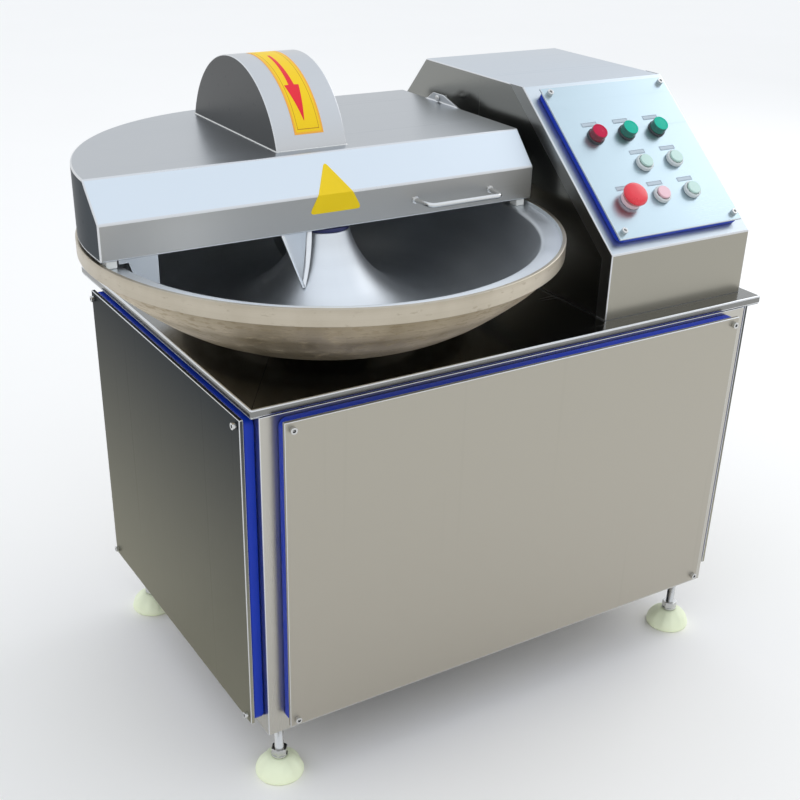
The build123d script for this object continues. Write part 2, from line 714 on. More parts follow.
# ---------------------------------------------------------------- control panel
PANEL_SCREWS = [
    (PANEL_CX + a * (PANEL_W / 2 - PANEL_SCREW_IN), PANEL_CS + b * (PANEL_L / 2 - PANEL_SCREW_IN))
    for a in (-1, 1)
    for b in (-1, 1)
]
LAMPS = [(PANEL_CX + column, ROWS[0]) for column in COLUMNS]
BUTTONS = [(PANEL_CX + column, row) for row in ROWS[1:] for column in COLUMNS[1:]]
ESTOP = (PANEL_CX + COLUMNS[0], ROWS[2])

with BuildPart() as panel_gasket:
    with BuildSketch(slope_plane(0)):
        with Locations((PANEL_CX, PANEL_CS)):
            RectangleRounded(PANEL_W - 2 * PANEL_INSET, PANEL_L - 2 * PANEL_INSET, GASKET_CORNER)
            Rectangle(PANEL_OPEN_W, PANEL_OPEN_L, mode=Mode.SUBTRACT)
        for x, s in PANEL_SCREWS:
            disc(x, s, SCREW_HOLE_R, mode=Mode.SUBTRACT)
    extrude(amount=PANEL_GASKET_T)
save(panel_gasket.part, "control_panel_gasket")

with BuildPart() as panel:
    with BuildSketch(slope_plane(PANEL_GASKET_T)):
        with Locations((PANEL_CX, PANEL_CS)):
            Rectangle(PANEL_W, PANEL_L)
        for x, s in PANEL_SCREWS:
            disc(x, s, SCREW_HOLE_R, mode=Mode.SUBTRACT)
        for x, s in LAMPS + BUTTONS + [ESTOP]:
            disc(x, s, BARREL_R, mode=Mode.SUBTRACT)
    extrude(amount=PANEL_T)
save(panel.part, "control_panel")

FRONT_FACES = [(plane.offset(PANEL_STAND), u, z) for plane, span in SIDES for u, z in screw_spots(span)]
side_screws = [cap_screw(plane, u, z, PANEL_STAND + ANGLE_T + SCREW_TAIL) for plane, u, z in FRONT_FACES]
panel_screws = [cap_screw(slope_plane(PANEL_FACE), x, s, PANEL_FACE) for x, s in PANEL_SCREWS]
save_group(side_screws + panel_screws, "socket_screws")


def device(x, s, collar_r, collar_h, seat_r, seat_h, bore_r):
    """A panel device's collar, threaded barrel and switch block, with a seat and a bore cut into its front."""
    with BuildPart() as body:
        with BuildSketch(slope_plane(PANEL_FACE)):
            disc(x, s, collar_r)
        extrude(amount=collar_h)
        with BuildSketch(slope_plane(PANEL_FACE)):
            disc(x, s, BARREL_R)
        extrude(amount=-PANEL_FACE - BARREL_L)
        with BuildSketch(slope_plane(-BARREL_L)):
            with Locations((x, s)):
                Rectangle(BLOCK_W, BLOCK_L)
        extrude(amount=-BLOCK_H)
        for r, bottom in ((seat_r, PANEL_FACE + seat_h), (bore_r, -BORE_DEPTH)):
            if r:
                with BuildSketch(slope_plane(bottom)):
                    disc(x, s, r)
                extrude(amount=PANEL_FACE + collar_h - bottom, mode=Mode.SUBTRACT)
    return body.part


def lamp_lens(x, s):
    """A pilot lamp's domed lens, standing on its bezel."""
    with BuildPart() as lens:
        with BuildSketch(slope_plane(PANEL_FACE + BEZEL_T)):
            disc(x, s, LENS_R)
        extrude(amount=LENS_H)
        rims = lens.edges().sort_by(Axis(slope_plane(0).origin, slope_plane(0).z_dir))
        fillet(rims[-1], LENS_ROUND)
    return lens.part


def button_cap(x, s):
    """A push button's cap and plunger, at rest PRESS above the bezel's floor."""
    with BuildPart() as cap:
        with BuildSketch(slope_plane(PANEL_FACE + CAP_LIFT)):
            disc(x, s, CAP_R)
        extrude(amount=CAP_T)
        with BuildSketch(slope_plane(PANEL_FACE + CAP_LIFT)):
            disc(x, s, PLUNGER_R)
        extrude(amount=-PANEL_FACE - CAP_LIFT)
    return cap.part


save_group([device(x, s, BEZEL_R, BEZEL_T, 0, 0, 0) for x, s in LAMPS], "lamp_bodies")
save_group([lamp_lens(x, s) for x, s in LAMPS], "lamp_lenses")
save_group([
    device(x, s, BEZEL_R, BEZEL_RING_H, CAP_R + RUNNING_FIT, BEZEL_T, PLUNGER_BORE_R) for x, s in BUTTONS
], "button_bodies")
for number, (x, s) in enumerate(BUTTONS, 1):
    save(button_cap(x, s), f"button_cap_{number}")

save(device(*ESTOP, ESTOP_COLLAR_R, CAP_LIFT, 0, 0, PLUNGER_BORE_R), "estop_body")

with BuildPart() as estop:
    with BuildSketch(slope_plane(ESTOP_LIFT)):
        disc(*ESTOP, ESTOP_R)
    extrude(amount=ESTOP_HEAD_H)
    tops = estop.edges().sort_by(Axis(slope_plane(0).origin, slope_plane(0).z_dir))
    fillet(tops[-1], ESTOP_ROUND)
    with BuildSketch(slope_plane(ESTOP_LIFT)):
        disc(*ESTOP, PLUNGER_R)
    extrude(amount=-ESTOP_LIFT)
save(estop.part, "estop_button")

# ---------------------------------------------------------------- bowl and its spindle
TROUGH_Z = KNIFE_Z


def trough_z(r, radius):
    """Height at radius r from the bowl's axis of a curve concentric with the knives' path."""
    return TROUGH_Z - sqrt(radius**2 - (r - TROUGH_OFFSET) ** 2)


HUB_TOP_R = TROUGH_OFFSET - sqrt(TROUGH_R**2 - (TROUGH_Z - HUB_TOP_Z) ** 2)
LEDGE_Z = RIM_Z - LEDGE_DEPTH
LEDGE_R = TROUGH_OFFSET + sqrt(TROUGH_R**2 - (TROUGH_Z - LEDGE_Z) ** 2)
BAND_Z = RIM_Z - RIM_BAND
CAVITY_ARC = TROUGH_R + BOWL_WALL
bowl_plane = radial_plane(BOWL_X, BOWL_Y)

with BuildPart() as bowl:
    with BuildSketch(bowl_plane):
        with BuildLine():
            Polyline(
                (BOSS_R, trough_z(BOSS_R, CAVITY_ARC)),
                (BOSS_R, BOWL_FOOT_Z),
                (HUB_BORE_R, BOWL_FOOT_Z),
                (HUB_BORE_R, HUB_TOP_Z),
                (HUB_TOP_R, HUB_TOP_Z),
            )
            ThreePointArc(
                (HUB_TOP_R, HUB_TOP_Z), (TROUGH_OFFSET, TROUGH_Z - TROUGH_R), (LEDGE_R, LEDGE_Z)
            )
            Polyline(
                (LEDGE_R, LEDGE_Z),
                (RIM_R - LIP_W, LEDGE_Z),
                (RIM_R - LIP_W, RIM_Z),
                (RIM_R, RIM_Z),
                (RIM_R, BAND_Z),
                (RIM_R - BAND_STEP, BAND_Z),
            )
            ThreePointArc((RIM_R - BAND_STEP, BAND_Z), (BELLY_R, BELLY_Z), (BOWL_FOOT_R, BOWL_FOOT_Z))
            Polyline(
                (BOWL_FOOT_R, BOWL_FOOT_Z),
                (BOWL_CAVITY_R, BOWL_FOOT_Z),
                (BOWL_CAVITY_R, trough_z(BOWL_CAVITY_R, CAVITY_ARC)),
            )
            middle = (BOSS_R + BOWL_CAVITY_R) / 2
            ThreePointArc(
                (BOWL_CAVITY_R, trough_z(BOWL_CAVITY_R, CAVITY_ARC)),
                (middle, trough_z(middle, CAVITY_ARC)),
                (BOSS_R, trough_z(BOSS_R, CAVITY_ARC)),
            )
        make_face()
    revolve(axis=upright_axis(BOWL_X, BOWL_Y))
save(bowl.part, "bowl")

with BuildPart() as hub_cap:
    with BuildSketch(at_height(HUB_TOP_Z)):
        disc(BOWL_X, BOWL_Y, HUB_TOP_R)
    extrude(amount=HUB_CAP_H)
    with BuildSketch(at_height(HUB_TOP_Z + HUB_CAP_H)):
        disc(BOWL_X, BOWL_Y, HUB_KNOB_R)
    extrude(amount=HUB_KNOB_H)
    fillet(hub_cap.edges().group_by(Axis.Z)[-1], HUB_KNOB_H / 3)
save(hub_cap.part, "hub_cap")

BRIDGE_Z = FRAME_TOP - BRIDGE_T

spindle = turned_upright(BOWL_X, BOWL_Y, [
    (GEARBOX_Z0, LOWER_BEARING[1], 0, SPINDLE_TAIL_R),
    (LOWER_BEARING[1], BOWL_FOOT_Z, 0, SPINDLE_R),
    (BOWL_FOOT_Z - SPINDLE_FLANGE_T, BOWL_FOOT_Z, 0, SPINDLE_FLANGE_R),
    (BOWL_FOOT_Z, HUB_TOP_Z, 0, HUB_BORE_R),
])
save(spindle, "bowl_spindle")

bearing_housing = turned_upright(BOWL_X, BOWL_Y, [
    (HOUSING_BOTTOM_Z, LOWER_BEARING[1], LOWER_BEARING_R, HOUSING_R),
    (LOWER_BEARING[1], UPPER_BEARING[0], LOWER_BEARING_R - BEARING_SHOULDER, HOUSING_R),
    (UPPER_BEARING[0], HOUSING_TOP_Z, UPPER_BEARING_R, HOUSING_R),
    (BRIDGE_Z - FLANGE_T, BRIDGE_Z, HOUSING_R - WELD_IN, FLANGE_R),
])
save(bearing_housing, "bowl_bearing_housing")

upper_ring = turned_upright(
    BOWL_X, BOWL_Y, [(*UPPER_BEARING, SPINDLE_R + RUNNING_FIT, UPPER_BEARING_R)]
)
lower_ring = turned_upright(
    BOWL_X, BOWL_Y, [(*LOWER_BEARING, SPINDLE_TAIL_R + RUNNING_FIT, LOWER_BEARING_R)]
)
save_group([upper_ring, lower_ring], "bowl_bearings")

# ---------------------------------------------------------------- worm gearbox and bowl motor
WHEEL_Z0 = WORM_Z - WHEEL_T / 2
GEARBOX_Y0 = WORM_Y - WORM_R - 2 * GEARBOX_WALL
GEARBOX_Y1 = BOWL_Y + WHEEL_R + 2 * GEARBOX_WALL
wheel = turned_upright(
    BOWL_X, BOWL_Y, [(WHEEL_Z0, WHEEL_Z0 + WHEEL_T, SPINDLE_TAIL_R, WHEEL_R)]
)
save(wheel, "worm_wheel")

with BuildPart() as gearbox:
    with BuildSketch(at_height(GEARBOX_Z0)):
        rect(GEARBOX_X0, GEARBOX_X1, GEARBOX_Y0, GEARBOX_Y1)
    extrude(amount=HOUSING_BOTTOM_Z - GEARBOX_Z0)
    fillet(gearbox.edges().filter_by(Axis.Z), GEARBOX_WALL)
    with BuildSketch(at_height(GEARBOX_Z0 + 2 * GEARBOX_WALL)):
        rect(
            GEARBOX_X0 + GEARBOX_WALL,
            GEARBOX_X1 - GEARBOX_WALL,
            GEARBOX_Y0 + GEARBOX_WALL,
            GEARBOX_Y1 - GEARBOX_WALL,
        )
    extrude(amount=HOUSING_BOTTOM_Z - GEARBOX_Z0 - 4 * GEARBOX_WALL, mode=Mode.SUBTRACT)
    with BuildSketch(at_height(GEARBOX_Z0)):
        disc(BOWL_X, BOWL_Y, SPINDLE_TAIL_R + RUNNING_FIT)
    extrude(amount=HOUSING_BOTTOM_Z - GEARBOX_Z0, mode=Mode.SUBTRACT)
    with BuildSketch(at_x(GEARBOX_X0 + GEARBOX_WALL / 2)):
        disc(WORM_Y, WORM_Z, WORM_NECK_R + RUNNING_FIT)
    extrude(amount=GEARBOX_X1 - GEARBOX_X0, mode=Mode.SUBTRACT)
save(gearbox.part, "worm_gearbox")

bowl_motor_end = GEARBOX_X1 + BOWL_MOTOR_L
bowl_motor = turned_level(WORM_Y, WORM_Z, [
    (GEARBOX_X1, GEARBOX_X1 + MOTOR_END, WORM_NECK_R + RUNNING_FIT, BOWL_MOTOR_FLANGE_R),
    (GEARBOX_X1, bowl_motor_end, BOWL_ROTOR_R + ROTOR_GAP, BOWL_MOTOR_R),
    (bowl_motor_end - MOTOR_END, bowl_motor_end, WORM_NECK_R + RUNNING_FIT, BOWL_MOTOR_R),
    (bowl_motor_end, bowl_motor_end + MOTOR_END, 0, BOWL_MOTOR_R),
])
save(bowl_motor, "bowl_motor")

worm = turned_level(WORM_Y, WORM_Z, [
    (GEARBOX_X0 + GEARBOX_WALL / 2 + SOFT_GAP, bowl_motor_end - SOFT_GAP, 0, WORM_NECK_R),
    (GEARBOX_X0 + 2 * GEARBOX_WALL, GEARBOX_X1 - 2 * GEARBOX_WALL, 0, WORM_R),
    (GEARBOX_X1 + 2 * MOTOR_END, bowl_motor_end - 2 * MOTOR_END, 0, BOWL_ROTOR_R),
])
save(worm, "worm_shaft")

# ---------------------------------------------------------------- knife shaft, its housing and the knives
KNIFE_XS = [BOWL_X + (i - (KNIFE_COUNT - 1) / 2) * KNIFE_PITCH for i in range(KNIFE_COUNT)]
SHOULDER_X = KNIFE_XS[-1] + KNIFE_T / 2 + CLAMP_END_T
CLAMP_LEFT_X = KNIFE_XS[0] - KNIFE_T / 2 - CLAMP_END_T
NOSE_TIP_X = CLAMP_LEFT_X - NOSE_L
SEAL_X = SHOULDER_X + SEAL_L
HOUSING_X0 = BOX_X + BOX_FLANGE + HOUSING_BOX_GAP
HOUSING_X1 = PULLEY_X0 - HOUSING_PULLEY_GAP
FRONT_BEARING_X = HOUSING_X0 + BEARING_LIP
REAR_BEARING_X = HOUSING_X1 - BEARING_L - BEARING_LIP
PULLEY_SEAT_X = PULLEY_X0 - PULLEY_SEAT_L
SHAFT_END_X = PULLEY_X0 + PULLEY_L + SHAFT_END_L

shaft = turned_level(KNIFE_Y, KNIFE_Z, [
    (NOSE_TIP_X, SHOULDER_X, 0, NOSE_R),
    (SHOULDER_X, PULLEY_SEAT_X, 0, SHAFT_R),
    (PULLEY_SEAT_X, SHAFT_END_X, 0, PULLEY_SEAT_R),
])
save(shaft, "knife_shaft")

sleeve = turned_level(KNIFE_Y, KNIFE_Z, [
    (SEAL_X, HOUSING_X0, SLEEVE_BORE_R, SLEEVE_R),
    (SEAL_X, SEAL_X + SEAL_L, SHAFT_R + 2 * RUNNING_FIT, SLEEVE_R),
    (HOUSING_X0, FRONT_BEARING_X, SLEEVE_BORE_R, HOUSING_BARREL_R),
    (FRONT_BEARING_X, HOUSING_X1, BEARING_R, HOUSING_BARREL_R),
])
with BuildPart() as shaft_housing:
    with BuildSketch(at_height(TABLE_Z)):
        rect(HOUSING_X0, HOUSING_X1, KNIFE_Y - PEDESTAL_HALF, KNIFE_Y + PEDESTAL_HALF)
    extrude(amount=PEDESTAL_T)
    with BuildSketch(at_x(HOUSING_X0)):
        outline(
            (KNIFE_Y - WEB_FOOT_HALF, TABLE_Z + PEDESTAL_T),
            (KNIFE_Y + WEB_FOOT_HALF, TABLE_Z + PEDESTAL_T),
            (KNIFE_Y + WEB_TOP_HALF, KNIFE_Z),
            (KNIFE_Y - WEB_TOP_HALF, KNIFE_Z),
        )
    extrude(amount=HOUSING_X1 - HOUSING_X0)
    with BuildSketch(at_x(HOUSING_X0)):
        disc(KNIFE_Y, KNIFE_Z, HOUSING_BARREL_R - WELD_IN)
    extrude(amount=HOUSING_X1 - HOUSING_X0, mode=Mode.SUBTRACT)
    with BuildSketch(at_y(KNIFE_Y + PEDESTAL_HALF)):
        rect(
            HOUSING_X0 + BEARING_R,
            HOUSING_X1 - BEARING_R,
            TABLE_Z + PEDESTAL_T,
            KNIFE_Z - HOUSING_BARREL_R - PEDESTAL_T,
        )
    extrude(amount=2 * PEDESTAL_HALF, mode=Mode.SUBTRACT)
    add(sleeve)
save(shaft_housing.part, "knife_shaft_housing")

save_group([
    turned_level(KNIFE_Y, KNIFE_Z, [(x, x + BEARING_L, SHAFT_R + RUNNING_FIT, BEARING_R)])
    for x in (FRONT_BEARING_X, REAR_BEARING_X)
], "knife_bearings")

ring_spans = [(CLAMP_LEFT_X, KNIFE_XS[0] - KNIFE_T / 2)]
ring_spans += [(x + KNIFE_T / 2, x + KNIFE_PITCH - KNIFE_T / 2) for x in KNIFE_XS[:-1]]
ring_spans += [(KNIFE_XS[-1] + KNIFE_T / 2, SHOULDER_X)]
save_group(
    [turned_level(KNIFE_Y, KNIFE_Z, [(a, b, NOSE_R, CLAMP_R)]) for a, b in ring_spans],
    "knife_clamp_rings",
)


def polar(radius, degrees):
    """A point about the knife shaft in a plane across x."""
    return (KNIFE_Y + radius * cos(radians(degrees)), KNIFE_Z + radius * sin(radians(degrees)))


def knife(x, turn):
    """A sickle knife with its clamping eye; the cutting edge is the long outer curve."""
    heel = polar(KNIFE_ROOT_R, turn + KNIFE_HEEL_DEG)
    belly = polar(KNIFE_BELLY_R, turn + KNIFE_BELLY_DEG)
    tip = polar(KNIFE_R, turn)
    tip_back = polar(KNIFE_R - KNIFE_TIP_CUT, turn - KNIFE_TIP_DEG)
    back = polar(KNIFE_BACK_R, turn + KNIFE_BACK_DEG)
    neck = polar(KNIFE_ROOT_R, turn - KNIFE_NECK_DEG)
    with BuildPart() as blade:
        with BuildSketch(at_x(x - KNIFE_T / 2)):
            with BuildLine():
                ThreePointArc(heel, belly, tip)
                Line(tip, tip_back)
                ThreePointArc(tip_back, back, neck)
                Line(neck, heel)
            make_face()
            disc(KNIFE_Y, KNIFE_Z, CLAMP_R)
            disc(KNIFE_Y, KNIFE_Z, NOSE_R, mode=Mode.SUBTRACT)
        extrude(amount=KNIFE_T)
    return blade.part


save_group([knife(x, i * 360 / KNIFE_COUNT) for i, x in enumerate(KNIFE_XS)], "knives")

with BuildPart() as knife_nut:
    with BuildSketch(at_x(CLAMP_LEFT_X - NUT_L)):
        with Locations((KNIFE_Y, KNIFE_Z)):
            RegularPolygon(NUT_R, 6)
    extrude(amount=NUT_L)
    with BuildSketch(at_x(NOSE_TIP_X)):
        disc(KNIFE_Y, KNIFE_Z, NOSE_R)
    extrude(amount=NUT_L, mode=Mode.SUBTRACT)
save(knife_nut.part, "knife_nut")


# ---------------------------------------------------------------- belt drive and knife motor
def pulley(y, z, bore, radius):
    """A grooved pulley on an axis along x."""
    root = radius - GROOVE_DEPTH
    land = (GROOVE_PITCH - GROOVE_W) / 2
    steps = [(PULLEY_X0, PULLEY_X0 + PULLEY_L, bore, root)]
    for i in range(GROOVE_COUNT):
        x = PULLEY_X0 + i * GROOVE_PITCH
        steps += [(x, x + land, bore, radius), (x + GROOVE_PITCH - land, x + GROOVE_PITCH, bore, radius)]
    return turned_level(y, z, steps)


save(pulley(KNIFE_Y, KNIFE_Z, PULLEY_SEAT_R, SHAFT_PULLEY_R), "shaft_pulley")
save(pulley(MOTOR_Y, MOTOR_Z, MOTOR_SHAFT_R, MOTOR_PULLEY_R), "motor_pulley")


def belt_hull(out):
    """The shape around both pulleys, out beyond their groove roots, in the sketch that is open."""
    disc(KNIFE_Y, KNIFE_Z, SHAFT_PULLEY_R - GROOVE_DEPTH + out)
    disc(MOTOR_Y, MOTOR_Z, MOTOR_PULLEY_R - GROOVE_DEPTH + out)
    make_hull()


def belt(x):
    """One endless belt centred at x."""
    with BuildPart() as loop:
        with BuildSketch(at_x(x - BELT_W / 2)):
            belt_hull(SOFT_GAP + BELT_T)
        extrude(amount=BELT_W)
        with BuildSketch(at_x(x - BELT_W / 2)):
            belt_hull(SOFT_GAP)
        extrude(amount=BELT_W, mode=Mode.SUBTRACT)
    return loop.part


save_group([belt(PULLEY_X0 + (i + 0.5) * GROOVE_PITCH) for i in range(GROOVE_COUNT)], "v_belts")

casing = turned_level(MOTOR_Y, MOTOR_Z, [
    (MOTOR_X0 - FAN_COVER_L, MOTOR_X0 - FAN_COVER_L + FAN_COVER_T, FAN_INLET_R, MOTOR_R),
    (MOTOR_X0 - FAN_COVER_L, MOTOR_X0, MOTOR_R - FAN_COVER_T, MOTOR_R),
    (MOTOR_X0, MOTOR_X0 + MOTOR_END, MOTOR_SHAFT_R + RUNNING_FIT, MOTOR_R),
    (MOTOR_X0, MOTOR_X1, ROTOR_R + ROTOR_GAP, MOTOR_R),
    (MOTOR_X1 - MOTOR_END, MOTOR_X1, MOTOR_SHAFT_R + RUNNING_FIT, MOTOR_R),
])
with BuildPart() as knife_motor:
    with BuildSketch(at_x(MOTOR_X0)):
        with Locations((MOTOR_Y, MOTOR_Z)):
            with PolarLocations(MOTOR_R + MOTOR_FIN_H / 2 - WELD_IN, MOTOR_FINS):
                Rectangle(MOTOR_FIN_H + 2 * WELD_IN, MOTOR_FIN_T)
    extrude(amount=MOTOR_X1 - MOTOR_X0)
    for x in RAIL_XS:
        with BuildSketch(at_x(x - RAIL_W / 2)):
            rect(MOTOR_Y - MOTOR_FOOT_HALF, MOTOR_Y + MOTOR_FOOT_HALF, RAIL_TOP, RAIL_TOP + RAIL_T)
            rect(MOTOR_Y - MOTOR_BLOCK_HALF, MOTOR_Y + MOTOR_BLOCK_HALF, RAIL_TOP, MOTOR_Z - MOTOR_R / 2)
            disc(MOTOR_Y, MOTOR_Z, MOTOR_R - WELD_IN, mode=Mode.SUBTRACT)
        extrude(amount=RAIL_W)
    with BuildSketch(at_height(MOTOR_Z + MOTOR_R - 2 * WELD_IN)):
        with Locations(((MOTOR_X0 + MOTOR_X1) / 2, MOTOR_Y)):
            Rectangle(TERMINAL_BOX_L, TERMINAL_BOX_W)
    extrude(amount=TERMINAL_BOX_H)
    add(casing)
save(knife_motor.part, "knife_motor")

rotor = turned_level(MOTOR_Y, MOTOR_Z, [
    (MOTOR_X0 - FAN_COVER_L + 2 * FAN_COVER_T, SHAFT_END_X, 0, MOTOR_SHAFT_R),
    (MOTOR_X0 + 2 * MOTOR_END, MOTOR_X1 - 2 * MOTOR_END, 0, ROTOR_R),
    (MOTOR_X0 - 2 * FAN_T, MOTOR_X0 - FAN_T, 0, FAN_R),
])
save(rotor, "motor_rotor")


# ---------------------------------------------------------------- lid
def lid_block(inset):
    """The lid's outer form, or its hollow when every face is moved in by an inset."""
    x0 = BOWL_X - LID_R + inset
    x1 = LID_RIGHT_X - inset
    y0 = LID_FRONT_Y + inset
    y1 = BOWL_Y + LID_R - inset
    rise = LID_TOP_Z - LID_BEND_Z
    shift = inset * sqrt(LID_BEVEL_Y**2 + rise**2) / rise
    with BuildPart() as block:
        with BuildSketch(at_height(LID_BOTTOM_Z)):
            with BuildLine():
                Polyline((BOWL_X, y1), (x1, y1), (x1, y0), (x0, y0), (x0, BOWL_Y))
                RadiusArc((x0, BOWL_Y), (BOWL_X, y1), LID_R - inset)
            make_face()
        extrude(amount=LID_H - inset)
        with BuildSketch(at_x(x0)):
            outline(
                (LID_FRONT_Y + shift - LID_BEVEL_Y, LID_BEND_Z - rise),
                (LID_FRONT_Y + shift + 2 * LID_BEVEL_Y, LID_BEND_Z + 2 * rise),
                (LID_FRONT_Y + shift - LID_BEVEL_Y, LID_BEND_Z + 2 * rise),
            )
        extrude(amount=x1 - x0, mode=Mode.SUBTRACT)
    return block.part


DOME_CENTRE_Z = LID_TOP_Z - DOME_SINK
DOME_HALF = sqrt(DOME_R**2 - DOME_SINK**2)
lid_outer = lid_block(0)
lid_inner = lid_block(LID_SHEET)

with BuildPart() as lid_shell:
    add(lid_outer)
    add(lid_inner, mode=Mode.SUBTRACT)
    with BuildSketch(at_height(LID_TOP_Z - LID_SHEET)):
        rect(
            BOWL_X - DOME_W / 2 + DOME_LAND,
            BOWL_X + DOME_W / 2 - DOME_LAND,
            KNIFE_Y - DOME_HALF + DOME_LAND,
            KNIFE_Y + DOME_HALF - DOME_LAND,
        )
    extrude(amount=LID_SHEET, mode=Mode.SUBTRACT)
    with BuildSketch(at_x(LID_RIGHT_X - LID_SHEET)):
        rect(KNIFE_Y - NOTCH_HALF, KNIFE_Y + NOTCH_HALF, LID_BOTTOM_Z, NOTCH_TOP_Z)
    extrude(amount=LID_SHEET, mode=Mode.SUBTRACT)
    for x in ARM_XS:
        with BuildSketch(at_x(x)):
            rect(BOWL_Y + LID_R - LID_SHEET, HINGE_Y, LID_BOTTOM_Z, HINGE_Z + HINGE_BOSS_R)
            disc(HINGE_Y, HINGE_Z, HINGE_BOSS_R)
            disc(HINGE_Y, HINGE_Z, HINGE_R + RUNNING_FIT, mode=Mode.SUBTRACT)
        extrude(amount=ARM_T)
    with BuildSketch(at_x(LID_RIGHT_X - LUG_T)):
        outline(
            (LUG_BASE[0], LID_TOP_Z - LID_SHEET),
            (LUG_BASE[1], LID_TOP_Z - LID_SHEET),
            (LUG_TOP[1], LID_TOP_Z + LUG_H),
            (LUG_TOP[0], LID_TOP_Z + LUG_H),
        )
        disc(LUG_BOLT_Y, LUG_BOLT_Z, LUG_BOLT_R, mode=Mode.SUBTRACT)
    extrude(amount=LUG_T)
save(lid_shell.part, "lid_shell")

with BuildPart() as lug_bolt:
    with BuildSketch(at_x(LID_RIGHT_X - LUG_T)):
        disc(LUG_BOLT_Y, LUG_BOLT_Z, LUG_HEAD_R)
    extrude(amount=-LUG_HEAD_T)
    fillet(lug_bolt.edges().filter_by(GeomType.CIRCLE).sort_by(Axis.X)[0], LUG_HEAD_ROUND)
    with BuildSketch(at_x(LID_RIGHT_X - LUG_T)):
        disc(LUG_BOLT_Y, LUG_BOLT_Z, LUG_BOLT_R)
    extrude(amount=LUG_T + LUG_BOLT_TAIL)
    with BuildSketch(at_x(LID_RIGHT_X)):
        with Locations((LUG_BOLT_Y, LUG_BOLT_Z)):
            RegularPolygon(LUG_NUT_R, 6)
    extrude(amount=LUG_NUT_T)
save(lug_bolt.part, "lug_bolt")


def dome_profile(radius):
    """The part of the dome's circle above the lid, in the sketch that is open."""
    disc(KNIFE_Y, DOME_CENTRE_Z, radius)
    rect(KNIFE_Y - DOME_R, KNIFE_Y + DOME_R, DOME_CENTRE_Z - DOME_R, LID_TOP_Z, mode=Mode.SUBTRACT)


with BuildPart() as dome:
    with BuildSketch(at_x(BOWL_X - DOME_W / 2)):
        dome_profile(DOME_R)
    extrude(amount=DOME_W)
    with BuildSketch(at_x(BOWL_X - DOME_W / 2 + LID_SHEET)):
        dome_profile(DOME_R - LID_SHEET)
    extrude(amount=DOME_W - 2 * LID_SHEET, mode=Mode.SUBTRACT)
save(dome.part, "knife_dome")

with BuildPart() as handle:
    with BuildLine(at_height(HANDLE_Z)) as rod:
        bends = Polyline(
            (HANDLE_X[0], LID_FRONT_Y),
            (HANDLE_X[0] + HANDLE_LEAN, LID_FRONT_Y - HANDLE_REACH),
            (HANDLE_X[1] - HANDLE_LEAN, LID_FRONT_Y - HANDLE_REACH),
            (HANDLE_X[1], LID_FRONT_Y),
        )
        fillet(rod.vertices().group_by(Axis.Y)[0], HANDLE_BEND)
    with BuildSketch(Plane(rod.line @ 0, z_dir=rod.line % 0)):
        Circle(HANDLE_R)
    sweep()
    with BuildSketch(at_y(LID_FRONT_Y)):
        for x in HANDLE_X:
            disc(x, HANDLE_Z, HANDLE_R + HANDLE_COLLAR)
    extrude(amount=HANDLE_COLLAR)
    with BuildSketch(at_y(LID_FRONT_Y)):
        rect(HANDLE_X[0] - HANDLE_BEND, HANDLE_X[1] + HANDLE_BEND, LID_BOTTOM_Z, LID_BEND_Z)
    extrude(amount=-HANDLE_BEND, mode=Mode.SUBTRACT)
save(handle.part, "lid_handle")


def rest_pad(wall_x, foot_x, side):
    """A nylon block in the lid's front corner with a narrower foot over the bowl's ledge."""
    y0 = LID_FRONT_Y + LID_SHEET
    y1 = y0 + REST_PAD_D
    with BuildPart() as block:
        with BuildSketch(at_height(LID_BOTTOM_Z)):
            rect(*sorted((wall_x, foot_x + side * REST_PAD_W)), y0, y1)
        extrude(amount=REST_PAD_W)
        with BuildSketch(at_height(LEDGE_Z + SOFT_GAP)):
            rect(*sorted((foot_x, foot_x + side * REST_PAD_W)), y0, y1)
        extrude(amount=LID_BOTTOM_Z - LEDGE_Z - SOFT_GAP)
    return block.part


save_group([
    rest_pad(LID_LEFT_X + LID_SHEET, REST_FOOT_LEFT_X, 1),
    rest_pad(LID_RIGHT_X - LID_SHEET, REST_FOOT_RIGHT_X, -1),
], "lid_rest_pads")

# ---------------------------------------------------------------- scrapers
FOLD_Y = LID_FRONT_Y + LID_SHEET
lean_length = sqrt(HUB_SCRAPER_DROP**2 + HUB_SCRAPER_LEAN**2)
lean_normal = Vector(0, -HUB_SCRAPER_DROP, HUB_SCRAPER_LEAN)
tip_right_x = HUB_SCRAPER_TIP_X + HUB_SCRAPER_TIP_HALF
lean_plane = Plane(
    SHIFT + Vector(0, FOLD_Y + HUB_SCRAPER_BACK, SCRAPER_TOP_Z), x_dir=(1, 0, 0), z_dir=lean_normal
)
with BuildPart() as hub_scraper:
    with BuildSketch(lean_plane):
        with BuildLine():
            Polyline(
                (tip_right_x, -lean_length),
                (HUB_SCRAPER_TIP_X - HUB_SCRAPER_TIP_HALF, -lean_length),
                (HUB_SCRAPER_TOP[0], 0),
                (HUB_SCRAPER_TOP[1], 0),
            )
            RadiusArc((HUB_SCRAPER_TOP[1], 0), (tip_right_x, -lean_length), HUB_SCRAPER_BOW * lean_length)
        make_face()
    extrude(amount=SCRAPER_T)
    with BuildSketch(at_height(SCRAPER_TOP_Z - SCRAPER_T)):
        rect(*HUB_SCRAPER_TOP, FOLD_Y, FOLD_Y + HUB_SCRAPER_BACK)
    extrude(amount=SCRAPER_T)
save(hub_scraper.part, "hub_scraper")

